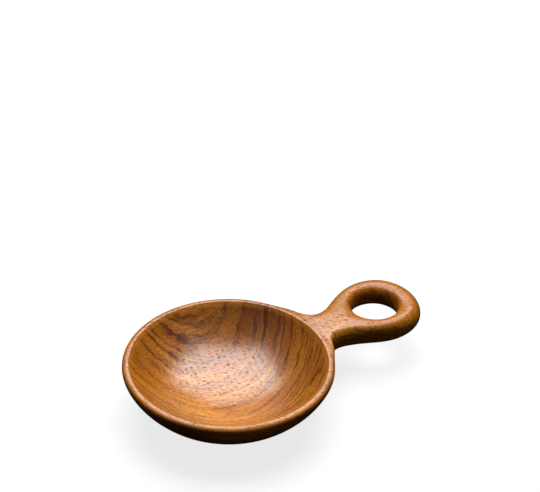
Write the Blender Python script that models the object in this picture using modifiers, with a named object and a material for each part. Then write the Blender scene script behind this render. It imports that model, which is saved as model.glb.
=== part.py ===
"""A small dipping dish carved from one board of teak: a turned bowl whose rim runs into a ring handle.

The dish is one soft form, so it is a coarse cage of loops under a subdivision surface. The bowl's
loops are turned about +Z, the ring's loops go round the finger hole, and the neck's loops join a
window in the bowl's wall to a window in the ring's side. The origin is at the middle of the foot,
on the table, and the handle points along +X.
"""

import math

import bpy
import bmesh
from mathutils import Vector

# Bowl, in metres
BOWL_RADIUS = 0.0575
BOWL_HEIGHT = 0.0290
RIM_BAND = 0.0036
RIM_ROUNDING = 0.0022
FOOT_RADIUS = 0.0287
HOLLOW_DEPTH = 0.0215

# How full the curves are: the wall's and the hole's superellipses, and the hollow's power curve
WALL_FULLNESS = 1.44
HOLE_FULLNESS = 2.30
HOLLOW_FULLNESS = 2.3

# Handle, in metres: the neck is narrowest at its run from the rim, and the hole at its run from there
HANDLE_THICKNESS = 0.0134
TOP_ROUNDING = 0.0060
TOP_FALL = 0.0080
UNDER_ROUNDING = 0.0054
ROOT_HALF_WIDTH = 0.0188
ROOT_FLARE = 0.0015
ROOT_RUN = 0.0034
ROOT_FILLET = 0.0014
UNDER_FILLET = 0.0004
NECK_RUN = 0.0085
NECK_HALF_WIDTH = 0.0123
NECK_HOLLOWING = 0.0160
HOLE_RUN = 0.0321
HOLE_RADIUS = 0.0127
RING_SHIFT = 0.0042
RING_HALF_LENGTH = 0.0219
RING_HALF_WIDTH = 0.0242
RING_FLARE = 0.0108
NECK_REACH = BOWL_RADIUS + NECK_RUN
HOLE_REACH = NECK_REACH + HOLE_RUN

# Counts of the cage's vertices and rows
BOWL_COLUMNS = 20
HOLLOW_ROWS = 4
WALL_ROWS = 5
RING_COLUMNS = 8
RING_ROWS = 8
ROOT_STEPS = 2

# How far the bowl's columns gather towards the handle, as a share of their turn's sine
GATHERING = 0.2

# Rows of the bowl that are sharp edges, and the row at the top of the neck's window
EDGE_ROW = HOLLOW_ROWS
SHOULDER_ROW = EDGE_ROW + 2
FOOT_ROW = SHOULDER_ROW + WALL_ROWS + 1

# The smoothing's levels, and how often the cage is corrected for it
SMOOTH_LEVELS = 2
PUSH_ROUNDS = 8

# Where two vertices stand on each rounded corner of the handle, as turns up from its side
LOW_TURN = math.radians(22.5)
HIGH_TURN = math.radians(67.5)

WOOD_COLOUR = (0.42, 0.17, 0.05, 1.0)
WOOD_ROUGHNESS = 0.45


def clear_scene():
    for old in list(bpy.data.objects):
        bpy.data.objects.remove(old, do_unlink=True)


def hollow_height(radius):
    """Height of the hollow's surface at a distance from the bowl's axis."""
    rise = (radius / (BOWL_RADIUS - RIM_BAND)) ** HOLLOW_FULLNESS
    return BOWL_HEIGHT - HOLLOW_DEPTH * (1 - rise)


def wall_radius(height):
    """Radius of the outer wall at a height above the table, up to where the rim's rounding starts."""
    drop = 1 - height / (BOWL_HEIGHT - RIM_ROUNDING)
    spread = (1 - drop ** WALL_FULLNESS) ** (1 / WALL_FULLNESS)
    return FOOT_RADIUS + (BOWL_RADIUS - FOOT_RADIUS) * spread


def bowl_profile():
    """Radius and height of each turned loop, from the hollow's floor over the rim to the foot."""
    hollow_radius = BOWL_RADIUS - RIM_BAND
    profile = []
    for row in range(1, HOLLOW_ROWS + 1):
        radius = hollow_radius * row / (HOLLOW_ROWS + 0.5)
        profile.append((radius, hollow_height(radius)))
    shoulder = RIM_ROUNDING * (1 - math.cos(math.radians(45)))
    profile.append((hollow_radius, BOWL_HEIGHT))
    profile.append((BOWL_RADIUS - RIM_ROUNDING, BOWL_HEIGHT))
    profile.append((BOWL_RADIUS - shoulder, BOWL_HEIGHT - shoulder))
    highest = BOWL_HEIGHT - HANDLE_THICKNESS / 4
    for row in range(WALL_ROWS):
        height = highest * (1 - row / (WALL_ROWS - 0.5))
        profile.append((wall_radius(height), height))
    profile.append((FOOT_RADIUS, 0.0))
    profile.append((FOOT_RADIUS / 2, 0.0))
    return profile


def turned_loop(bm, radius, height):
    evenly = [math.tau * column / BOWL_COLUMNS for column in range(BOWL_COLUMNS)]
    turns = [turn - GATHERING * math.sin(turn) for turn in evenly]
    return [bm.verts.new((radius * math.cos(turn), radius * math.sin(turn), height)) for turn in turns]


def skin(bm, first, second):
    """Quads between two closed loops with as many vertices."""
    for index in range(len(first)):
        after = (index + 1) % len(first)
        bm.faces.new((first[index], first[after], second[after], second[index]))


def crease_loop(creases, loop):
    for index, vert in enumerate(loop):
        follower = loop[(index + 1) % len(loop)]
        edge = next(edge for edge in vert.link_edges if edge.other_vert(vert) is follower)
        edge[creases] = 1.0


def cut_window(bm, top, high, low, under):
    """Opens two by three faces between four rows, and returns the ten vertices round the opening."""
    bmesh.ops.delete(bm, geom=[high[0], low[0]], context='VERTS')
    return [top[1], top[0], top[-1], high[-1], low[-1], under[-1], under[0], under[1], low[1], high[1]]


def side_places(share):
    """Inset and height of the four vertices down the side of the handle's section.

    Two stand on the oval upper corner, which grows with the share from the rim's rounding, and two on
    the round lower one.
    """
    bottom = BOWL_HEIGHT - HANDLE_THICKNESS
    inwards = RIM_ROUNDING + (TOP_ROUNDING - RIM_ROUNDING) * share
    down = RIM_ROUNDING + (TOP_FALL - RIM_ROUNDING) * share
    places = []
    for turn in (HIGH_TURN, LOW_TURN):
        fall = down * (1 - math.sin(turn))
        places.append((inwards * (1 - math.cos(turn)), BOWL_HEIGHT - fall))
    for turn in (LOW_TURN, HIGH_TURN):
        rise = UNDER_ROUNDING * (1 - math.sin(turn))
        places.append((UNDER_ROUNDING * (1 - math.cos(turn)), bottom + rise))
    return places


def add_bowl(bm, creases):
    """Turned loops from floor to foot, with a window in the wall for the neck."""
    rows = [turned_loop(bm, radius, height) for radius, height in bowl_profile()]
    for inner, outer in zip(rows, rows[1:]):
        skin(bm, inner, outer)
    bm.faces.new(reversed(rows[0]))
    bm.faces.new(rows[-1])
    crease_loop(creases, rows[EDGE_ROW])
    crease_loop(creases, rows[FOOT_ROW])
    top, high, low, under = rows[SHOULDER_ROW:SHOULDER_ROW + 4]
    shape_root(top, high, low, under)
    return cut_window(bm, top, high, low, under)


def root_side(share):
    """A place on the hollow curve from the flared root to the neck's narrowest place, and its direction.

    The curve is a parabola. It leaves the root towards a corner and ends along the handle.
    """
    flared = BOWL_RADIUS + ROOT_FLARE
    start = Vector((math.sqrt(flared ** 2 - ROOT_HALF_WIDTH ** 2), ROOT_HALF_WIDTH))
    corner = Vector((start.x + ROOT_RUN, NECK_HALF_WIDTH))
    end = Vector((NECK_REACH, NECK_HALF_WIDTH))
    first = start.lerp(corner, share)
    second = corner.lerp(end, share)
    return first.lerp(second, share), second - first


def shape_root(top, high, low, under):
    """Moves the window's corners out to the start of the handle's hollow sides."""
    outline = root_side(0)[0]
    for row in (top, high, low, under):
        inset = BOWL_RADIUS - row[0].co.x
        place = outline * (1 - inset / outline.length)
        for column in (-1, 1):
            row[column].co = (place.x, column * place.y, row[0].co.z)
    top[0].co.z = BOWL_HEIGHT
    for column, fillet in ((-1, ROOT_FILLET), (0, UNDER_FILLET), (1, ROOT_FILLET)):
        outwards = Vector((under[column].co.x, under[column].co.y, 0)).normalized()
        under[column].co += outwards * fillet


def ring_outside(turn):
    """Distance from the hole's axis to the ring's outside, an oval that flares towards the neck."""
    along = math.cos(turn) / RING_HALF_LENGTH
    across = math.sin(turn) / RING_HALF_WIDTH
    shift = RING_SHIFT * along / RING_HALF_LENGTH
    square = along ** 2 + across ** 2
    rest = 1 - (RING_SHIFT / RING_HALF_LENGTH) ** 2
    outside = (shift + math.sqrt(shift ** 2 + square * rest)) / square
    towards_neck = max(0.0, -math.cos(turn)) ** 2
    return outside + RING_FLARE * towards_neck


def section_place(turn):
    """Place at a turn round the ring's section, in halves of its width and thickness.

    The section is an oval, and on the side of the hole it is a fuller superellipse.
    """
    across = math.cos(turn)
    up = math.sin(turn)
    if across < 0:
        across = -abs(across) ** (2 / HOLE_FULLNESS)
        up = math.copysign(abs(up) ** (2 / HOLE_FULLNESS), up)
    return across, up


def ring_loop(bm, section_turn):
    """One loop round the finger hole, at a turn round the ring's oval section."""
    loop = []
    half_thickness = HANDLE_THICKNESS / 2
    across, up = section_place(section_turn)
    for column in range(RING_COLUMNS):
        turn = math.pi - math.tau * column / RING_COLUMNS
        outside = ring_outside(turn)
        middle = (outside + HOLE_RADIUS) / 2
        reach = middle + (outside - HOLE_RADIUS) / 2 * across
        height = BOWL_HEIGHT - half_thickness + half_thickness * up
        loop.append(bm.verts.new((HOLE_REACH + reach * math.cos(turn), reach * math.sin(turn), height)))
    return loop


def add_ring(bm):
    """A torus of eight loops, with a window on the side that faces the bowl."""
    loops = [ring_loop(bm, math.tau * (row + 0.5) / RING_ROWS) for row in range(RING_ROWS)]
    for first, second in zip(loops, loops[1:] + loops[:1]):
        skin(bm, first, second)
    high, top = loops[:2]
    under, low = loops[-2:]
    top[0].co.z = BOWL_HEIGHT
    under[0].co.z = BOWL_HEIGHT - HANDLE_THICKNESS
    return cut_window(bm, top, high, low, under)


def neck_loop(bm, side, direction, reach, share):
    """A rounded oblong of ten vertices across the neck, in the order of a window.

    Its sides stand at the given place and go in square to the direction, and its middle is at the reach.
    """
    inwards = Vector((direction.y, -direction.x)).normalized()
    left = []
    for inset, height in side_places(share):
        place = side + inset * inwards
        left.append(bm.verts.new((place.x, place.y, height)))
    right = [bm.verts.new((vert.co.x, -vert.co.y, vert.co.z)) for vert in left]
    top = bm.verts.new((reach, 0, BOWL_HEIGHT))
    bottom = bm.verts.new((reach, 0, BOWL_HEIGHT - HANDLE_THICKNESS))
    return [left[0], top] + right + [bottom] + left[:0:-1]


def add_neck(bm, bowl_window, ring_window):
    """Loops from the wall's window, past the narrowest place, to the ring's window."""
    loops = [bowl_window]
    for step in range(1, ROOT_STEPS + 1):
        share = step / ROOT_STEPS
        loops.append(neck_loop(bm, *root_side(share), BOWL_RADIUS + NECK_RUN * share, share))
    reach = (NECK_REACH + ring_window[-1].co.x) / 2
    spread = (reach - NECK_REACH) / NECK_HOLLOWING
    half_width = NECK_HALF_WIDTH + spread * (reach - NECK_REACH) / 2
    loops.append(neck_loop(bm, Vector((reach, half_width)), Vector((1, spread)), reach, 1))
    loops.append(ring_window)
    for first, second in zip(loops, loops[1:]):
        skin(bm, first, second)


def smoothed_place(vert, creases):
    """Where the subdivision surface will lie at a vertex of the cage."""
    sharp = [edge.other_vert(vert).co for edge in vert.link_edges if edge[creases] > 0]
    if len(sharp) == 2:
        return (4 * vert.co + sharp[0] + sharp[1]) / 6
    if any(len(face.verts) != 4 for face in vert.link_faces):
        return vert.co.copy()
    count = len(vert.link_edges)
    along = sum((edge.other_vert(vert).co for edge in vert.link_edges), Vector())
    corners = Vector()
    for face in vert.link_faces:
        ring = list(face.verts)
        corners += ring[(ring.index(vert) + 2) % 4].co
    return (count * count * vert.co + 4 * along + corners) / (count * (count + 5))


def push_out(bm, creases):
    """Moves the cage outwards until the smooth surface passes through the places it was given."""
    wanted = {vert: vert.co.copy() for vert in bm.verts}
    for _ in range(PUSH_ROUNDS):
        misses = {vert: wanted[vert] - smoothed_place(vert, creases) for vert in bm.verts}
        for vert, miss in misses.items():
            vert.co += miss


def teak():
    material = bpy.data.materials.new("oiled_teak")
    material.use_nodes = True
    shader = material.node_tree.nodes["Principled BSDF"]
    shader.inputs["Base Color"].default_value = WOOD_COLOUR
    shader.inputs["Roughness"].default_value = WOOD_ROUGHNESS
    shader.inputs["Metallic"].default_value = 0.0
    return material


def build_dish(collection):
    bm = bmesh.new()
    creases = bm.edges.layers.float.new("crease_edge")
    bowl_window = add_bowl(bm, creases)
    ring_window = add_ring(bm)
    add_neck(bm, bowl_window, ring_window)
    bmesh.ops.recalc_face_normals(bm, faces=bm.faces)
    push_out(bm, creases)
    mesh = bpy.data.meshes.new("dish")
    bm.to_mesh(mesh)
    bm.free()
    mesh.shade_smooth()
    mesh.materials.append(teak())
    dish = bpy.data.objects.new("dish", mesh)
    collection.objects.link(dish)
    smoothing = dish.modifiers.new("soft_form", 'SUBSURF')
    smoothing.levels = SMOOTH_LEVELS
    smoothing.render_levels = SMOOTH_LEVELS
    return dish


def main():
    clear_scene()
    parts = bpy.data.collections.new("dipping_dish")
    bpy.context.scene.collection.children.link(parts)
    build_dish(parts)


main()
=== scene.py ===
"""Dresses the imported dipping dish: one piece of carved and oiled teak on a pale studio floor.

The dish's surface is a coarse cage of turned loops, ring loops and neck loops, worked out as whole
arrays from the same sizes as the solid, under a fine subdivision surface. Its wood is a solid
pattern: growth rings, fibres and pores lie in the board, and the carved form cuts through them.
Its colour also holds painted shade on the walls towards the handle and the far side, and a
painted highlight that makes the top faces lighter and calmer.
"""

import math
from collections import namedtuple

import bpy
import numpy as np
from mathutils import Matrix, Vector


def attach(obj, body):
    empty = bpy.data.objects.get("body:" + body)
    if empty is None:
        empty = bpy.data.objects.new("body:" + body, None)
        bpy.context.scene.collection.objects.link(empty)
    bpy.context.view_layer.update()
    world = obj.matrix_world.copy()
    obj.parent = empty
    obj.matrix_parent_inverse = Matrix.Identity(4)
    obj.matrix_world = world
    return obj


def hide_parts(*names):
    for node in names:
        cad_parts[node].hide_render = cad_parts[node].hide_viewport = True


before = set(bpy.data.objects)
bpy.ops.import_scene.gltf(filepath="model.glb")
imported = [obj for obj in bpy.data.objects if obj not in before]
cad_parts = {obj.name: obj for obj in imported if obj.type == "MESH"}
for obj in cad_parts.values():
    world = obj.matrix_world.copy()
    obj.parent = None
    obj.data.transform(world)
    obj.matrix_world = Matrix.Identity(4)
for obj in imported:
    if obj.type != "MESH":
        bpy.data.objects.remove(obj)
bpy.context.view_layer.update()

bl_info = {
    "name": "Teak Dipping Dish",
    "version": (1, 0, 0),
    "blender": (4, 5, 0),
    "location": "View3D > Sidebar > Dipping Dish",
    "description": "A carved teak dipping dish with a ring handle, its wood and its studio",
    "category": "Object",
}

# The photo's size in pixels, the sensor's width in millimetres, and the camera's near limit
PHOTO_WIDTH = 540
PHOTO_HEIGHT = 492
SENSOR_WIDTH = 36.0
CLIP_START = 0.01

# Each lamp's direction from the dish, its distance, and its size across and up
KEY_DIRECTION = (0.288, 0.368, 0.826)
KEY_DISTANCE = 1.1
KEY_SIZE = (1.15, 1.05)
FILL_DIRECTION = (-0.424, -0.734, 0.530)
FILL_DISTANCE = 1.5
FILL_SIZE = (0.9, 0.9)

# The floor reaches far past the picture, and a hair below the foot, so that the faces don't meet
FLOOR_REACH = 6.0
FLOOR_GAP = 0.0001

# The floor's glow for the camera, and the dark paint that all other rays see
FLOOR_GLOW = 0.8
UNSEEN_PAINT = (0.03, 0.03, 0.03)
WHITE = (1.0, 1.0, 1.0)

# Counts of the cage: columns round the bowl and the ring, and rows of each part
BOWL_COLUMNS = 20
HOLLOW_ROWS = 4
WALL_ROWS = 5
RING_COLUMNS = 8
RING_ROWS = 8
ROOT_STEPS = 2

# How strongly the bowl's columns gather towards the handle
GATHERING = 0.2

# Rows of the bowl's profile: the rim's inner edge, its outer shoulder and the foot's edge
EDGE_ROW = HOLLOW_ROWS
SHOULDER_ROW = EDGE_ROW + 2
FOOT_ROW = SHOULDER_ROW + WALL_ROWS + 1

# Rows of points from the top to the foot of the window where the neck leaves the bowl's wall
WINDOW_ROWS = 4

# Numbers of a neck loop's points: down its left side, down its right side, and in the middle
NECK_LEFT = (0, 9, 8, 7)
NECK_RIGHT = (2, 3, 4, 5)
NECK_MIDDLE = (1, 6)

# Turns at which points stand on a rounded corner
LOW_TURN = math.radians(22.5)
HIGH_TURN = math.radians(67.5)
SHOULDER_TURN = math.radians(45)

# How often the cage is pushed out to meet its places, and how finely it is smoothed
PUSH_ROUNDS = 8
SMOOTH_LEVELS = 4

# Sharpness of the rim's inner edge and of the foot's edge
RIM_CREASE = 0.62
FOOT_CREASE = 0.7

# Noise in the wood: lengths in millimetres along the pith, round it and through the rings
Mark = namedtuple("Mark", "lengths detail roughness")
WANDER = Mark((80.0, 26.0, 26.0), 1.0, 0.5)
SHIVER = Mark((12.0, 6.0, 6.0), 2.0, 0.5)
STREAKS = Mark((45.0, 28.0, 0.8), 4.0, 0.62)
ZONES = Mark((60.0, 30.0, 4.0), 2.0, 0.5)
FADES = Mark((34.0, 12.0, 3.4), 2.0, 0.5)
FIBRES = Mark((5.0, 0.45, 0.45), 3.0, 0.6)
MOTTLE = Mark((8.0, 1.4, 1.4), 2.0, 0.5)
PORE_LENGTHS = (3.4, 0.40, 0.40)

# The pith in the log's millimetres, above the dish, and the usual gap between two rings
MM_PER_METRE = 1000.0
PITH_SIDE = -56.0
PITH_UP = 125.0
RING_GAP = 3.3

# How many millimetres the rings wander, shiver and widen by, and how often in one they widen
WANDER_BY = 4.0
SHIVER_BY = 1.6
WIDEN_BY = 6.0
WIDEN_RATE = 0.13

# A band turns a value from low to high into one from at_low to at_high
Band = namedtuple("Band", "low high at_low at_high", defaults=(0.0, 1.0))

# Millimetres in the log: the figure's depth towards the handle, by it, at the tail and far side;
# towards the handle and the far side this depth is also painted shade
TO_HANDLE = Band(-5.0, 45.0, 0.0, 0.6)
BY_HANDLE = Band(55.0, 66.0, 1.0, 0.3)
TO_TAIL = Band(-15.0, -45.0, 0.0, 0.2)
TO_FAR_SIDE = Band(62.0, 105.0, 0.0, 0.55)

# Heights in metres: how the figure and its painted shade deepen up the wall, how the painted
# highlight calms and lightens the top face, and dry wood
UP_THE_WALL = Band(0.009, 0.017, 0.35, 1.0)
TO_TOP_FACE = Band(0.0262, 0.0284, 1.0, 0.36)
DRY_WALL = Band(0.012, 0.020)

# Metres along the handle, where hands hold it
HELD_HANDLE = Band(0.058, 0.090)

# Metres: the rim's reach from the bowl's axis, its outer edge, its height, and off the handle
RIM_REACH = Band(0.0534, 0.0545)
RIM_OUTER_EDGE = Band(0.0546, 0.0558)
RIM_HEIGHT = Band(0.0245, 0.0265)
OFF_HANDLE = Band(0.053, 0.044)

# Parts of a ring: the dark late wood, its sudden end, and the share of pores from its start on
LATE_WOOD = Band(0.62, 0.95)
RING_END = Band(1.0, 0.97)
PORE_CROWD = Band(0.0, 0.5, 0.75, 0.35)

# Bands of noise: where rings fade, dark streaks, light zones, and the tints of fibres and mottle
FADED_RING = Band(0.36, 0.60, 0.25, 1.0)
DARK_STREAK = Band(0.50, 0.32)
LIGHT_ZONE = Band(0.36, 0.64)
FIBRE_TINT = Band(0.25, 0.75, 0.4, 1.6)
MOTTLE_TINT = Band(0.25, 0.75, 0.6, 1.4)
FIBRE_SHINE = Band(0.3, 0.7, 0.75, 1.05)
PORE_EDGE = Band(0.45, 0.25)

# How squarely the surface stands across the fibres where it shows end grain
END_GRAIN = Band(0.25, 0.95)

# Shares of dark wood in the deep figure with its painted shade, late wood, streaks, end grain,
# handle and rim
FIGURE_AND_SHADE_DARK = 0.85
LATE_DARK = 0.85
STREAK_DARK = 0.8
END_GRAIN_DARK = 0.4
HANDLE_DARK = 0.14
RIM_DARK = 0.2

# The figure's strength where it isn't deep, the light wood of the painted highlight on the top
# face, and the mottle
SHALLOW_FIGURE = 0.6
TOP_PAINTED_HIGHLIGHT = 0.4
MOTTLE_STRENGTH = 0.5

# The pores' darkness in all wood, and what it gains below the top face, where the painted
# highlight doesn't calm them
PORE_DARK = 0.25
BELOW_SHEEN_PORE_DARK = 0.40

# Roughness that fibres between two values take off and add, pores add and late wood takes off
GLOSS_FIBRES = (0.2, 0.8)
FIBRE_SMOOTHER = 0.05
FIBRE_ROUGHER = 0.07
PORE_ROUGHER = 0.25
LATE_SMOOTHER = 0.05

# Shares of shine lost in pores, on the dry wall, on the rim's worn edge and on the handle
PORE_DULL = 0.85
DRY_DULL = 0.6
WORN_DULL = 0.6
HELD_DULL = 0.4

# Fine relief: heights of fibres and late wood against a pore's depth, its strength and scale
FIBRE_RELIEF = 0.35
LATE_RELIEF = 0.15
PORE_RELIEF = -1.0
RELIEF_STRENGTH = 0.5
RELIEF_SCALE = 0.00012

# How strongly the oil bends light
OIL_IOR = 1.6


def length(name, description, default):
    """A length that the panel shows."""
    return bpy.props.FloatProperty(name=name, description=description, default=default,
                                   unit='LENGTH', min=0.0)


def colour(name, description, default):
    """A colour that the panel shows."""
    return bpy.props.FloatVectorProperty(name=name, description=description, default=default,
                                         subtype='COLOR', size=3, min=0.0, max=1.0)


class DishSizes(bpy.types.PropertyGroup):
    """Sizes of the carved form, the same as the solid's."""
    bowl_radius: length("Bowl radius", "Outside radius at the rim", 0.0575)
    bowl_height: length("Bowl height", "From the table to the rim", 0.0290)
    rim_band: length("Rim band", "Width of the flat rim", 0.0036)
    rim_rounding: length("Rim rounding", "Rounding of the rim's outer edge", 0.0022)
    foot_radius: length("Foot radius", "Radius of the flat foot", 0.0287)
    hollow_depth: length("Hollow depth", "From the rim down to the hollow's floor", 0.0215)
    wall_fullness: bpy.props.FloatProperty(
        name="Wall fullness", description="Power of the outer wall's superellipse", default=1.44)
    hollow_fullness: bpy.props.FloatProperty(
        name="Hollow fullness", description="Power of the hollow's curve", default=2.3)
    handle_thickness: length("Handle thickness", "From the handle's underside to its top", 0.0134)
    top_rounding: length("Top rounding", "How far in the neck's oval upper edges go", 0.0060)
    top_fall: length("Top fall", "How far down the neck's oval upper edges go", 0.0080)
    under_rounding: length("Under rounding", "Rounding of the neck's lower edges", 0.0054)
    root_half_width: length("Root half width", "Half the handle's width at the bowl", 0.0188)
    root_flare: length("Root flare", "How far the root stands out from the bowl's circle", 0.0015)
    root_run: length("Root run", "From the flared root to the corner its sides turn", 0.0034)
    root_fillet: length("Root fillet", "Fillet under the root's sides", 0.0014)
    under_fillet: length("Under fillet", "Fillet under the root's middle", 0.0004)
    neck_run: length("Neck run", "From the bowl's circle to the narrowest place", 0.0085)
    neck_half_width: length("Neck half width", "Half the neck's least width", 0.0123)
    neck_hollowing: length("Neck hollowing", "Radius of the sides towards the ring", 0.0160)
    hole_run: length("Hole run", "From the neck's narrowest place to the hole's axis", 0.0321)
    hole_radius: length("Hole radius", "Radius of the finger hole", 0.0127)
    hole_fullness: bpy.props.FloatProperty(
        name="Hole fullness", description="Power of the section's superellipse at the hole",
        default=2.30)
    ring_shift: length("Ring shift", "How far the ring's oval lies beyond the hole", 0.0042)
    ring_half_length: length("Ring half length", "Half the oval along the handle", 0.0219)
    ring_half_width: length("Ring half width", "Half the oval across the handle", 0.0242)
    ring_flare: length("Ring flare", "How far the ring reaches past its oval to the neck", 0.0108)


class TeakLook(bpy.types.PropertyGroup):
    """Colours and finish of the oiled teak."""
    # The light wood also paints the highlight that makes the top faces lighter
    light_wood_and_highlight: colour("Light wood", "The open wood between the dark layers", (0.82, 0.30, 0.016))
    middle_wood: colour("Middle wood", "The wood's main colour", (0.61, 0.187, 0.009))
    # The dark wood also paints the shade on the walls towards the handle and the far side
    dark_wood_and_shade: colour("Dark wood", "The dark layers", (0.12, 0.026, 0.002))
    pore: colour("Pores", "The open pores", (0.05, 0.014, 0.004))
    roughness: bpy.props.FloatProperty(
        name="Roughness", description="Roughness of the oiled surface", default=0.28,
        min=0.0, max=1.0)
    grain_yaw: bpy.props.FloatProperty(
        name="Grain yaw", description="Turn of the grain against the handle, seen from above",
        default=math.radians(10.5), unit='ROTATION')
    grain_dip: bpy.props.FloatProperty(
        name="Grain dip", description="How far the grain dips towards the handle",
        default=math.radians(-2.7), unit='ROTATION')


class StudioSettings(bpy.types.PropertyGroup):
    """Camera, lamps and floor."""
    lens: bpy.props.FloatProperty(
        name="Lens", description="Focal length on a 36 mm wide sensor", default=120.0,
        unit='CAMERA')
    pitch: bpy.props.FloatProperty(
        name="Pitch", description="How far the camera looks down", default=math.radians(34.748),
        unit='ROTATION')
    heading: bpy.props.FloatProperty(
        name="Heading", description="Turn of the dish against the camera's direction",
        default=math.radians(34.903), unit='ROTATION')
    roll: bpy.props.FloatProperty(
        name="Roll", description="The camera's roll", default=math.radians(1.242),
        unit='ROTATION')
    distance: length("Distance", "From the camera to the middle of the rim", 0.967358)
    rim_x: bpy.props.FloatProperty(
        name="Rim across", description="Image column of the rim's middle", default=228.799)
    rim_y: bpy.props.FloatProperty(
        name="Rim down", description="Image row of the rim's middle", default=360.877)
    key_strength: bpy.props.FloatProperty(
        name="Key", description="Power of the large lamp behind the dish", default=18.0,
        unit='POWER')
    fill_strength: bpy.props.FloatProperty(
        name="Fill", description="Power of the lamp beside the camera", default=0.35,
        unit='POWER')
    air: colour("Air", "Light that comes from all round", (0.012, 0.012, 0.012))
    floor: colour("Floor", "The floor's paint", (0.28, 0.28, 0.28))


def hollow_height(sizes, radius):
    """Height of the hollow: it rises from its floor with a power of the radius."""
    rise = (radius / (sizes.bowl_radius - sizes.rim_band)) ** sizes.hollow_fullness
    return sizes.bowl_height - sizes.hollow_depth * (1 - rise)


def wall_radius(sizes, height):
    """Radius of the outer wall: a superellipse from the foot to below the rim's rounding."""
    drop = 1 - height / (sizes.bowl_height - sizes.rim_rounding)
    spread = (1 - drop ** sizes.wall_fullness) ** (1 / sizes.wall_fullness)
    return sizes.foot_radius + (sizes.bowl_radius - sizes.foot_radius) * spread


def bowl_profile(sizes):
    """Radius and height of each turned loop, from the hollow's floor over the rim to the foot.

    The hollow's rows are even and stop half a step before the rim. The wall's are even, and run
    from a quarter of the handle's thickness below the rim to half a step above the foot.
    """
    hollow_radius = sizes.bowl_radius - sizes.rim_band
    inner = hollow_radius * np.arange(1, HOLLOW_ROWS + 1) / (HOLLOW_ROWS + 0.5)
    shoulder = sizes.rim_rounding * (1 - math.cos(SHOULDER_TURN))
    highest = sizes.bowl_height - sizes.handle_thickness / 4
    heights = highest * (1 - np.arange(WALL_ROWS) / (WALL_ROWS - 0.5))
    radii = np.concatenate((
        inner,
        (hollow_radius, sizes.bowl_radius - sizes.rim_rounding, sizes.bowl_radius - shoulder),
        wall_radius(sizes, heights),
        (sizes.foot_radius, sizes.foot_radius / 2)))
    levels = np.concatenate((
        hollow_height(sizes, inner),
        (sizes.bowl_height, sizes.bowl_height, sizes.bowl_height - shoulder),
        heights,
        (0.0, 0.0)))
    return radii, levels


def bowl_cage(sizes):
    """Rows turned about the bowl's axis: radius times cosine and sine, at the row's height.

    The turns are even ones less a share of their sines, which gathers them towards the handle.
    """
    radii, levels = bowl_profile(sizes)
    evenly = math.tau * np.arange(BOWL_COLUMNS) / BOWL_COLUMNS
    turns = evenly - GATHERING * np.sin(evenly)
    grid = np.empty((len(radii), BOWL_COLUMNS, 3))
    grid[..., 0] = radii[:, None] * np.cos(turns)
    grid[..., 1] = radii[:, None] * np.sin(turns)
    grid[..., 2] = levels[:, None]
    return grid


def side_places(sizes, shares):
    """Insets and heights of the four points down the side of the handle's section, by shares.

    Two stand on the oval upper corner, which grows with the share from the rim's rounding and
    falls further than it goes in, and two on the round lower one.
    """
    inwards = sizes.rim_rounding + (sizes.top_rounding - sizes.rim_rounding) * shares[:, None]
    down = sizes.rim_rounding + (sizes.top_fall - sizes.rim_rounding) * shares[:, None]
    under = np.full_like(down, sizes.under_rounding)
    turns = np.array((HIGH_TURN, LOW_TURN))
    insets = np.hstack((inwards * (1 - np.cos(turns)), under * (1 - np.cos(turns[::-1]))))
    bottom = sizes.bowl_height - sizes.handle_thickness
    heights = np.hstack((sizes.bowl_height - down * (1 - np.sin(turns)),
                         bottom + under * (1 - np.sin(turns[::-1]))))
    return insets, heights


def root_sides(sizes, shares):
    """Places and directions on the parabola from the flared root to the neck's narrowest place.

    A place is the mean of the start, the corner and the end, weighted by the share's binomial
    terms, and its direction is the same of the two steps between them.
    """
    reach = math.sqrt((sizes.bowl_radius + sizes.root_flare) ** 2 - sizes.root_half_width ** 2)
    start = np.array((reach, sizes.root_half_width))
    corner = np.array((reach + sizes.root_run, sizes.neck_half_width))
    end = np.array((sizes.bowl_radius + sizes.neck_run, sizes.neck_half_width))
    shares = np.asarray(shares)[:, None]
    places = (1 - shares) ** 2 * start + 2 * shares * (1 - shares) * corner + shares ** 2 * end
    return places, (1 - shares) * (corner - start) + shares * (end - corner)


def shape_root(sizes, grid):
    """Moves the window's sides out to the start of the handle's hollow sides.

    Under the window the points go further out by the fillets.
    """
    outline = root_sides(sizes, (0.0,))[0][0]
    rows = slice(SHOULDER_ROW, SHOULDER_ROW + WINDOW_ROWS)
    insets = sizes.bowl_radius - grid[rows, 0, 0]
    places = outline * (1 - insets[:, None] / np.hypot(*outline))
    for column in (-1, 1):
        grid[rows, column, :2] = places * (1, column)
    grid[SHOULDER_ROW, 0, 2] = sizes.bowl_height
    under = grid[SHOULDER_ROW + WINDOW_ROWS - 1]
    fillets = (sizes.root_fillet, sizes.under_fillet, sizes.root_fillet)
    for column, fillet in zip((-1, 0, 1), fillets):
        under[column, :2] *= 1 + fillet / np.hypot(*under[column, :2])


def ring_outside(sizes, turns):
    """Distance from the hole's axis to the ring's outside: a shifted oval that flares to the neck.

    It is where a ray from the axis meets the oval, plus the flare times the squared cosine.
    """
    along = np.cos(turns) / sizes.ring_half_length
    across = np.sin(turns) / sizes.ring_half_width
    shift = sizes.ring_shift * along / sizes.ring_half_length
    square = along ** 2 + across ** 2
    rest = 1 - (sizes.ring_shift / sizes.ring_half_length) ** 2
    outside = (shift + np.sqrt(shift ** 2 + square * rest)) / square
    return outside + sizes.ring_flare * np.maximum(0, -np.cos(turns)) ** 2


def hole_reach(sizes):
    """Distance from the bowl's axis to the hole's axis."""
    return sizes.bowl_radius + sizes.neck_run + sizes.hole_run


def section_places(sizes, turns):
    """Places round the ring's section: cosine and sine, and by the hole a superellipse of them."""
    across, up = np.cos(turns), np.sin(turns)
    power = np.where(across < 0, 2 / sizes.hole_fullness, 1.0)
    return np.sign(across) * np.abs(across) ** power, np.sign(up) * np.abs(up) ** power


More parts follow.
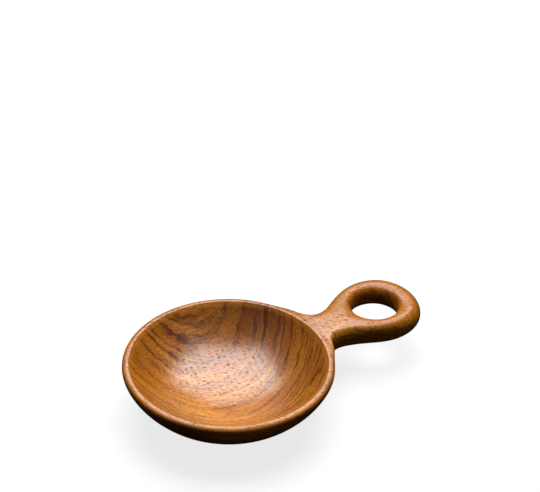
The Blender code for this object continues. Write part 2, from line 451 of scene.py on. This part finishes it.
def ring_cage(sizes):
    """Loops round the hole: the section between the hole and the ring's outside, turned round.

    The edges of the ring's window towards the neck lie on the handle's top and underside.
    """
    turns = math.pi - math.tau * np.arange(RING_COLUMNS) / RING_COLUMNS
    sections = math.tau * (np.arange(RING_ROWS) + 0.5) / RING_ROWS
    outside = ring_outside(sizes, turns)
    half = sizes.handle_thickness / 2
    reach = (outside + sizes.hole_radius) / 2
    across, up = section_places(sizes, sections)
    reach = reach + (outside - sizes.hole_radius) / 2 * across[:, None]
    grid = np.empty((RING_ROWS, RING_COLUMNS, 3))
    grid[..., 0] = hole_reach(sizes) + reach * np.cos(turns)
    grid[..., 1] = reach * np.sin(turns)
    grid[..., 2] = sizes.bowl_height - half + half * up[:, None]
    grid[1, 0, 2] = sizes.bowl_height
    grid[-2, 0, 2] = sizes.bowl_height - sizes.handle_thickness
    return grid


def neck_cage(sizes, ring_start):
    """Rounded oblongs across the neck, from its root past its narrowest place towards the ring.

    Past the narrowest place the half width grows with the square of the run. The edges go in
    square to the neck's outline: a point's inset times the outline's unit normal.
    """
    narrow = sizes.bowl_radius + sizes.neck_run
    shares = np.arange(1, ROOT_STEPS + 1) / ROOT_STEPS
    last = (narrow + ring_start) / 2
    spread = (last - narrow) / sizes.neck_hollowing
    places, directions = root_sides(sizes, shares)
    sides = np.vstack((places, (last, sizes.neck_half_width + spread * (last - narrow) / 2)))
    directions = np.vstack((directions, (1.0, spread)))
    inwards = directions[:, ::-1] * (1, -1) / np.hypot(*directions.T)[:, None]
    middles = np.append(sizes.bowl_radius + sizes.neck_run * shares, last)
    insets, heights = side_places(sizes, np.append(shares, 1.0))
    left = sides[:, None] + insets[..., None] * inwards[:, None]
    points = len(NECK_LEFT) + len(NECK_RIGHT) + len(NECK_MIDDLE)
    grid = np.empty((len(sides), points, 3))
    grid[:, NECK_LEFT, :2] = left
    grid[:, NECK_RIGHT, :2] = left * (1, -1)
    grid[:, NECK_LEFT, 2] = heights
    grid[:, NECK_RIGHT, 2] = heights
    grid[:, NECK_MIDDLE, 0] = middles[:, None]
    grid[:, NECK_MIDDLE, 1] = 0.0
    grid[:, NECK_MIDDLE, 2] = (sizes.bowl_height, sizes.bowl_height - sizes.handle_thickness)
    return grid


def window(ids, top, high, low, under):
    """The points round a window two faces wide and three high, in the neck loops' order."""
    return np.array((ids[top, 1], ids[top, 0], ids[top, -1], ids[high, -1], ids[low, -1],
                     ids[under, -1], ids[under, 0], ids[under, 1], ids[low, 1], ids[high, 1]))


def grid_quads(ids, close_rows=False):
    """Quads between neighbouring rows of a grid of point numbers that is closed along each row."""
    after = np.roll(ids, -1, axis=1)
    rows = len(ids) if close_rows else len(ids) - 1
    below = np.roll(ids, -1, axis=0)[:rows]
    below_after = np.roll(after, -1, axis=0)[:rows]
    return np.stack((ids[:rows], below, below_after, after[:rows]), axis=-1).reshape(-1, 4)


def dish_cage(sizes):
    """Points, quads, the two capping loops and the two creased loops of the whole dish."""
    bowl = bowl_cage(sizes)
    shape_root(sizes, bowl)
    ring = ring_cage(sizes)
    neck = neck_cage(sizes, ring[0, 1, 0])
    grids = (bowl, ring, neck)
    points = np.concatenate([grid.reshape(-1, 3) for grid in grids])
    starts = np.cumsum([0] + [grid[..., 0].size for grid in grids])
    bowl_ids, ring_ids, neck_ids = (
        start + np.arange(grid[..., 0].size).reshape(grid.shape[:2])
        for start, grid in zip(starts, grids))
    top, high, low, under = range(SHOULDER_ROW, SHOULDER_ROW + WINDOW_ROWS)
    bowl_window = window(bowl_ids, top, high, low, under)
    ring_window = window(ring_ids, 1, 0, -1, -2)
    sleeve = np.vstack((bowl_window, neck_ids, ring_window))
    quads = np.vstack((grid_quads(bowl_ids), grid_quads(ring_ids, True),
                       grid_quads(sleeve)[:, ::-1]))
    gone = (bowl_ids[high, 0], bowl_ids[low, 0], ring_ids[0, 0], ring_ids[-1, 0])
    quads = quads[~np.isin(quads, gone).any(axis=1)]
    kept = np.setdiff1d(np.arange(len(points)), gone)
    renumber = np.full(len(points), -1)
    renumber[kept] = np.arange(len(kept))
    caps = (renumber[bowl_ids[0]], renumber[bowl_ids[-1]][::-1])
    creased = (renumber[bowl_ids[EDGE_ROW]], renumber[bowl_ids[FOOT_ROW]])
    return points[kept], renumber[quads], caps, creased


def push_out(points, quads, caps, creased):
    """Moves the cage until its smooth surface passes through the places it was given.

    A smooth point lies at the mean of n squared times itself, four times each of its n neighbours
    and once each far corner, and a creased one at that of four times itself and two neighbours.
    """
    sides = [np.stack((quads[:, side], quads[:, (side + 1) % 4]), axis=1) for side in range(4)]
    edges = np.unique(np.sort(np.vstack(sides), axis=1), axis=0)
    ends = np.concatenate((edges[:, 0], edges[:, 1]))
    others = np.concatenate((edges[:, 1], edges[:, 0]))
    corners = quads.ravel()
    far = quads[:, (2, 3, 0, 1)].ravel()
    counts = np.bincount(ends, minlength=len(points))[:, None].astype(float)
    fixed = np.concatenate(caps)
    wanted = points.copy()
    places = points.copy()
    for _ in range(PUSH_ROUNDS):
        around = np.zeros_like(places)
        np.add.at(around, ends, places[others])
        across = np.zeros_like(places)
        np.add.at(across, corners, places[far])
        smooth = (counts ** 2 * places + 4 * around + across) / (counts * (counts + 5))
        smooth[fixed] = places[fixed]
        for loop in creased:
            neighbours = np.roll(places[loop], 1, axis=0) + np.roll(places[loop], -1, axis=0)
            smooth[loop] = (4 * places[loop] + neighbours) / 6
        places += wanted - smooth
    return places


def crease_edges(mesh, loops, sharpness):
    """Gives each edge of the loops its sharpness, as one array over the mesh's edges."""
    ends = np.empty(len(mesh.edges) * 2, dtype=np.int32)
    mesh.edges.foreach_get("vertices", ends)
    pairs = ends.reshape(-1, 2)
    values = np.zeros(len(pairs), dtype=np.float32)
    for loop, value in zip(loops, sharpness):
        values[np.isin(pairs, loop).all(axis=1)] = value
    crease = mesh.attributes.new("crease_edge", 'FLOAT', 'EDGE')
    crease.data.foreach_set("value", values)


def carve_mesh(sizes):
    """The smoothed dish: the cage is subdivided, and what comes out is kept as a plain mesh."""
    points, quads, caps, creased = dish_cage(sizes)
    points = push_out(points, quads, caps, creased)
    cage = bpy.data.meshes.new("cage")
    cage.from_pydata(points.tolist(), [], quads.tolist() + [cap.tolist() for cap in caps])
    crease_edges(cage, creased, (RIM_CREASE, FOOT_CREASE))
    holder = bpy.data.objects.new("cage", cage)
    bpy.context.scene.collection.objects.link(holder)
    smoothing = holder.modifiers.new("soft_form", 'SUBSURF')
    smoothing.levels = SMOOTH_LEVELS
    smoothing.render_levels = SMOOTH_LEVELS
    smoothed = holder.evaluated_get(bpy.context.evaluated_depsgraph_get())
    mesh = bpy.data.meshes.new_from_object(smoothed)
    mesh.name = "carved_dish"
    bpy.data.objects.remove(holder)
    bpy.data.meshes.remove(cage)
    mesh.shade_smooth()
    return mesh


def rgba(colour_value):
    """The colour with full alpha."""
    return (*colour_value, 1.0)


class Tree:
    """Adds nodes to a material or a world, and wires each up in one call."""

    def __init__(self, owner):
        self.nodes = owner.node_tree.nodes
        self.links = owner.node_tree.links

    def add(self, kind, settings=None, **inputs):
        """A node with its settings. An input's name has _ for a space, or is i and a number."""
        node = self.nodes.new(kind)
        for name, value in (settings or {}).items():
            setattr(node, name, value)
        for name, value in inputs.items():
            numbered = name.startswith("i") and name[1:].isdigit()
            self.feed(node, int(name[1:]) if numbered else name.replace("_", " "), value)
        return node

    def feed(self, node, name, value):
        """Links a socket to the node's input, or gives the input a plain value."""
        if isinstance(value, bpy.types.NodeSocket):
            self.links.new(value, node.inputs[name])
        else:
            node.inputs[name].default_value = value

    def split(self, vector):
        """A vector's three parts."""
        return tuple(self.add("ShaderNodeSeparateXYZ", Vector=vector).outputs)

    def maths(self, operation, first, second=0.0, third=0.0):
        """A calculation with one to three values."""
        return self.add("ShaderNodeMath", {"operation": operation},
                        i0=first, i1=second, i2=third).outputs[0]

    def times(self, first, *others):
        """The product of the values."""
        for other in others:
            first = self.maths('MULTIPLY', first, other)
        return first

    def plus(self, value, part, amount=1.0):
        """The value plus an amount of the part."""
        return self.maths('MULTIPLY_ADD', part, amount, value)

    def less(self, value, part, share):
        """The value with a share of it lost where the part is one."""
        return self.times(value, self.plus(1.0, part, -share))

    def remap(self, value, band, smooth=True):
        """The value turned by the band, with eased or straight ends."""
        node = self.add("ShaderNodeMapRange",
                        {"interpolation_type": 'SMOOTHSTEP' if smooth else 'LINEAR'},
                        Value=value, From_Min=band.low, From_Max=band.high,
                        To_Min=band.at_low, To_Max=band.at_high)
        return node.outputs["Result"]

    def mix(self, factor, first, second, blend='MIX'):
        """The first colour, and as much of the second as the factor says."""
        return self.add("ShaderNodeMix", {"data_type": 'RGBA', "blend_type": blend},
                        i0=factor, i6=first, i7=second).outputs[2]

    def stretch(self, vector, lengths):
        """The position measured in lengths along the grain, across it and through the rings."""
        scale = tuple(1 / part for part in lengths)
        return self.add("ShaderNodeMapping", Vector=vector, Scale=scale).outputs[0]

    def noise(self, vector, mark):
        """Noise of the mark's lengths, detail and roughness."""
        return self.add("ShaderNodeTexNoise", {"noise_dimensions": '3D'},
                        Vector=self.stretch(vector, mark.lengths), Scale=1.0,
                        Detail=mark.detail, Roughness=mark.roughness).outputs["Fac"]


class TeakWood(Tree):
    """The dish's wood: a log's rings, figure, fibres and pores, handled and oiled; painted shade
    and highlight.
    """

    def __init__(self, look):
        self.material = bpy.data.materials.new("oiled_teak")
        self.material.use_nodes = True
        super().__init__(self.material)
        self.look = look
        self.lie_in_log()
        self.grow_rings()
        self.open_pores()
        self.place_figure_shade_and_highlight()
        self.wear_down()
        shader = self.nodes["Principled BSDF"]
        self.feed(shader, "Base Color", self.tint())
        self.feed(shader, "Roughness", self.gloss())
        self.feed(shader, "Specular IOR Level", self.shine())
        self.feed(shader, "Normal", self.relief())
        self.feed(shader, "IOR", OIL_IOR)

    def lie_in_log(self):
        """Places in the log in millimetres: X runs along the pith, and the pith is at zero."""
        spot = self.add("ShaderNodeTexCoord")
        self.place = spot.outputs["Object"]
        self.ahead, _, self.height = self.split(self.place)
        self.facing = self.split(spot.outputs["Normal"])[0]
        self.log = self.add("ShaderNodeMapping", Vector=self.place, Scale=(MM_PER_METRE,) * 3,
                            Rotation=(0.0, self.look.grain_dip, self.look.grain_yaw),
                            Location=(0.0, -PITH_SIDE, -PITH_UP)).outputs[0]
        self.along, self.side, self.up = self.split(self.log)

    def grow_rings(self):
        """Rings of even gaps round the pith, which wander slowly, shiver and widen unevenly."""
        square = self.plus(self.times(self.side, self.side), self.times(self.up, self.up))
        age = self.maths('SQRT', square)
        age = self.plus(age, self.noise(self.log, WANDER), WANDER_BY)
        age = self.plus(age, self.noise(self.log, SHIVER), SHIVER_BY)
        widening = self.add("ShaderNodeTexNoise", {"noise_dimensions": '1D'}, W=age,
                            Scale=WIDEN_RATE, Detail=1.0, Roughness=0.5).outputs["Fac"]
        age = self.plus(age, widening, WIDEN_BY)
        self.phase = self.maths('FRACT', self.maths('DIVIDE', age, RING_GAP))
        self.grain = self.add("ShaderNodeCombineXYZ", X=self.along, Y=self.side, Z=age).outputs[0]
        self.late = self.times(self.remap(self.phase, LATE_WOOD), self.remap(self.phase, RING_END),
                               self.remap(self.noise(self.grain, FADES), FADED_RING))
        self.fibre = self.noise(self.log, FIBRES)

    def open_pores(self):
        """Short dashes along the grain, crowded in the wood that each ring starts with."""
        cells = self.add("ShaderNodeTexVoronoi", {"voronoi_dimensions": '3D', "feature": 'F1'},
                         Vector=self.stretch(self.log, PORE_LENGTHS), Scale=1.0, Randomness=1.0)
        chance = self.add("ShaderNodeSeparateColor", Color=cells.outputs["Color"]).outputs[0]
        opened = self.maths('LESS_THAN', chance, self.remap(self.phase, PORE_CROWD))
        self.dash = self.times(self.remap(cells.outputs["Distance"], PORE_EDGE), opened)

    def place_figure_shade_and_highlight(self):
        """The figure is deep by the handle, tail and far side, partly as painted shade; painted
        highlight calms the top.
        """
        # One below the top face and less on it: painted highlight, where the wood is drawn lighter
        # and calmer
        self.below_top_sheen = self.remap(self.height, TO_TOP_FACE)
        right = self.times(self.remap(self.along, TO_HANDLE), self.remap(self.along, BY_HANDLE))
        ends = self.plus(right, self.remap(self.along, TO_TAIL))
        sides = self.plus(ends, self.remap(self.side, TO_FAR_SIDE))
        # Painted shade with the figure: darker towards the handle and far side, more so up the
        # wall
        self.figure_and_shade = self.times(sides, self.remap(self.height, UP_THE_WALL))

    def wear_down(self):
        """Where hands have been: the rim except by the handle, its outer edge, and the handle."""
        flat = self.add("ShaderNodeVectorMath", {"operation": 'MULTIPLY'},
                        i0=self.place, i1=(1.0, 1.0, 0.0)).outputs[0]
        reach = self.add("ShaderNodeVectorMath", {"operation": 'LENGTH'}, i0=flat).outputs["Value"]
        self.rim = self.times(self.remap(reach, RIM_REACH), self.remap(self.height, RIM_HEIGHT),
                              self.remap(self.ahead, OFF_HANDLE))
        self.worn = self.times(self.rim, self.remap(reach, RIM_OUTER_EDGE))
        self.held = self.remap(self.ahead, HELD_HANDLE)

    def tint(self):
        """Lighter and darker zones and a painted top highlight, darkened by figure, painted shade,
        end grain, hands and pores.
        """
        dark_wood_and_shade = rgba(self.look.dark_wood_and_shade)
        zone = self.times(self.remap(self.noise(self.grain, ZONES), LIGHT_ZONE), self.below_top_sheen)
        # Painted highlight: a share of light wood on the top face
        share = self.plus(zone, self.plus(TOP_PAINTED_HIGHLIGHT, self.below_top_sheen, -TOP_PAINTED_HIGHLIGHT))
        tint = self.mix(share, rgba(self.look.middle_wood), rgba(self.look.light_wood_and_highlight))

        streak = self.remap(self.noise(self.grain, STREAKS), DARK_STREAK)
        # Painted shade with the figure: the deep figure's dark wood, and stronger late wood and
        # streaks, towards the handle and far side
        force = self.times(self.below_top_sheen, self.plus(self.figure_and_shade, SHALLOW_FIGURE))
        tint = self.mix(self.times(self.figure_and_shade, self.below_top_sheen, FIGURE_AND_SHADE_DARK), tint, dark_wood_and_shade)
        tint = self.mix(self.times(self.late, force, LATE_DARK), tint, dark_wood_and_shade)
        tint = self.mix(self.times(streak, force, STREAK_DARK), tint, dark_wood_and_shade)

        mottle = self.remap(self.noise(self.log, MOTTLE), MOTTLE_TINT, False)
        tint = self.mix(1.0, tint, self.remap(self.fibre, FIBRE_TINT, False), 'MULTIPLY')
        tint = self.mix(self.times(self.below_top_sheen, MOTTLE_STRENGTH), tint, mottle, 'MULTIPLY')

        # End grain drinks more oil, so it is darker where the surface stands across the fibres
        end_grain = self.remap(self.maths('ABSOLUTE', self.facing), END_GRAIN)
        tint = self.mix(self.times(end_grain, END_GRAIN_DARK), tint, dark_wood_and_shade)
        handled = self.plus(self.times(self.rim, RIM_DARK), self.held, HANDLE_DARK)
        tint = self.mix(handled, tint, dark_wood_and_shade)
        pores = self.times(self.dash, self.plus(PORE_DARK, self.below_top_sheen, BELOW_SHEEN_PORE_DARK))
        return self.mix(pores, tint, rgba(self.look.pore))

    def gloss(self):
        """Roughness: it follows the fibres, pores are rougher and the dense late wood smoother."""
        smoothest = self.look.roughness - FIBRE_SMOOTHER
        roughest = self.look.roughness + FIBRE_ROUGHER
        gloss = self.remap(self.fibre, Band(*GLOSS_FIBRES, smoothest, roughest), False)
        gloss = self.plus(gloss, self.dash, PORE_ROUGHER)
        return self.plus(gloss, self.late, -LATE_SMOOTHER)

    def shine(self):
        """The oil's shine, which is lost in pores, on the dry wall and where hands have been."""
        dry = self.times(self.remap(self.height, DRY_WALL), self.below_top_sheen)
        shine = self.remap(self.fibre, FIBRE_SHINE, False)
        shine = self.less(shine, self.dash, PORE_DULL)
        shine = self.less(shine, dry, DRY_DULL)
        shine = self.less(shine, self.worn, WORN_DULL)
        return self.less(shine, self.held, HELD_DULL)

    def relief(self):
        """Fine relief: raised fibres and late wood, and sunken pores."""
        relief = self.plus(self.times(self.fibre, FIBRE_RELIEF), self.dash, PORE_RELIEF)
        relief = self.plus(relief, self.late, LATE_RELIEF)
        return self.add("ShaderNodeBump", Strength=RELIEF_STRENGTH, Distance=RELIEF_SCALE,
                        Height=relief).outputs[0]


class DISH_OT_carve(bpy.types.Operator):
    """Carves the dish and puts it in the solid's place."""
    bl_idname = "dipping_dish.carve"
    bl_label = "Carve Dish"

    def execute(self, context):
        sizes = context.scene.dish_sizes
        mesh = carve_mesh(sizes)
        mesh.materials.append(TeakWood(context.scene.teak_look).material)
        piece = bpy.data.objects.new("carved_dish", mesh)
        context.scene.collection.objects.link(piece)
        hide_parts("dish")
        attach(piece, "root")
        return {'FINISHED'}


def hang_lamp(name, direction, distance, size, power):
    """An area lamp at a distance along a direction from the dish, turned to face it."""
    data = bpy.data.lights.new(name, 'AREA')
    data.energy = power
    data.shape = 'RECTANGLE'
    data.size, data.size_y = size
    obj = bpy.data.objects.new(name, data)
    away = Vector(direction).normalized()
    obj.location = away * distance
    obj.rotation_euler = away.to_track_quat('Z', 'Y').to_euler()
    bpy.context.scene.collection.objects.link(obj)


def place_camera(sizes, studio):
    """The photo's camera: it stands back from the rim's middle, along the line of sight to it."""
    pitch, heading, roll = studio.pitch, studio.heading, studio.roll
    turn = Matrix.Rotation(-heading, 3, 'Z')
    ahead = turn @ Vector((0, math.cos(pitch), -math.sin(pitch)))
    level = turn @ Vector((1, 0, 0))
    above = turn @ Vector((0, math.sin(pitch), math.cos(pitch)))
    right = level * math.cos(roll) + above * math.sin(roll)
    up = above * math.cos(roll) - level * math.sin(roll)
    pixels = studio.lens / SENSOR_WIDTH * PHOTO_WIDTH
    across = (studio.rim_x - PHOTO_WIDTH / 2) / pixels
    down = (studio.rim_y - PHOTO_HEIGHT / 2) / pixels
    target = Vector((0, 0, sizes.bowl_height))
    camera = bpy.data.cameras.new("camera")
    camera.lens = studio.lens
    camera.sensor_width = SENSOR_WIDTH
    camera.clip_start = CLIP_START
    obj = bpy.data.objects.new("camera", camera)
    spin = Matrix((right, up, -ahead)).transposed().to_4x4()
    place = target - studio.distance * (ahead + across * right - down * up)
    obj.matrix_world = Matrix.Translation(place) @ spin
    bpy.context.scene.collection.objects.link(obj)
    bpy.context.scene.camera = obj


def floor_paint(studio):
    """Pale paint that the camera sees as white, with the dish's soft shadow on it."""
    material = bpy.data.materials.new("floor_paint")
    material.use_nodes = True
    t = Tree(material)
    t.nodes.clear()
    seen = t.add("ShaderNodeLightPath").outputs["Is Camera Ray"]
    paint = t.add("ShaderNodeBsdfDiffuse", Color=rgba(studio.floor)).outputs[0]
    unseen = t.add("ShaderNodeBsdfDiffuse", Color=rgba(UNSEEN_PAINT)).outputs[0]
    glow = t.add("ShaderNodeEmission", Strength=FLOOR_GLOW).outputs[0]
    bright = t.add("ShaderNodeAddShader", i0=paint, i1=glow).outputs[0]
    both = t.add("ShaderNodeMixShader", i0=seen, i1=unseen, i2=bright).outputs[0]
    t.add("ShaderNodeOutputMaterial", Surface=both)
    return material


def light_air(studio):
    """The world: dim even light, and white where the camera sees past the floor."""
    world = bpy.data.worlds.new("studio_air")
    world.use_nodes = True
    t = Tree(world)
    t.nodes.clear()
    seen = t.add("ShaderNodeLightPath").outputs["Is Camera Ray"]
    tint = t.mix(seen, rgba(studio.air), rgba(WHITE))
    background = t.add("ShaderNodeBackground", Color=tint, Strength=1.0)
    t.add("ShaderNodeOutputWorld", Surface=background.outputs[0])
    bpy.context.scene.world = world


class DISH_OT_stage(bpy.types.Operator):
    """Sets the pale floor, the soft lamps and the camera."""
    bl_idname = "dipping_dish.stage"
    bl_label = "Set Stage"

    def execute(self, context):
        studio = context.scene.studio_settings
        mesh = bpy.data.meshes.new("floor")
        corners = np.array(((-1, -1, 0), (1, -1, 0), (1, 1, 0), (-1, 1, 0))) * FLOOR_REACH
        corners[:, 2] = -FLOOR_GAP
        mesh.from_pydata(corners.tolist(), [], [(0, 1, 2, 3)])
        mesh.materials.append(floor_paint(studio))
        floor = bpy.data.objects.new("floor", mesh)
        context.scene.collection.objects.link(floor)
        hang_lamp("key", KEY_DIRECTION, KEY_DISTANCE, KEY_SIZE, studio.key_strength)
        hang_lamp("fill", FILL_DIRECTION, FILL_DISTANCE, FILL_SIZE, studio.fill_strength)
        light_air(studio)
        place_camera(context.scene.dish_sizes, studio)
        context.scene.view_settings.view_transform = 'Standard'
        return {'FINISHED'}


class DISH_PT_panel(bpy.types.Panel):
    """Lists the sizes, the looks and the steps."""
    bl_idname = "DISH_PT_panel"
    bl_label = "Dipping Dish"
    bl_space_type = 'VIEW_3D'
    bl_region_type = 'UI'
    bl_category = "Dipping Dish"

    def draw(self, context):
        scene = context.scene
        for group in (scene.dish_sizes, scene.teak_look, scene.studio_settings):
            box = self.layout.box()
            for name in group.__annotations__:
                box.prop(group, name)
        for step in (DISH_OT_carve, DISH_OT_stage):
            self.layout.operator(step.bl_idname)


CLASSES = (DishSizes, TeakLook, StudioSettings, DISH_OT_carve, DISH_OT_stage, DISH_PT_panel)


def register():
    """Adds the classes, and their settings to each scene."""
    for cls in CLASSES:
        bpy.utils.register_class(cls)
    bpy.types.Scene.dish_sizes = bpy.props.PointerProperty(type=DishSizes)
    bpy.types.Scene.teak_look = bpy.props.PointerProperty(type=TeakLook)
    bpy.types.Scene.studio_settings = bpy.props.PointerProperty(type=StudioSettings)


def unregister():
    """Takes the settings and the classes out again."""
    del bpy.types.Scene.studio_settings
    del bpy.types.Scene.teak_look
    del bpy.types.Scene.dish_sizes
    for cls in reversed(CLASSES):
        bpy.utils.unregister_class(cls)


def main():
    """Carves the dish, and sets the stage."""
    register()
    bpy.ops.dipping_dish.carve()
    bpy.ops.dipping_dish.stage()


if __name__ == "__main__":
    main()
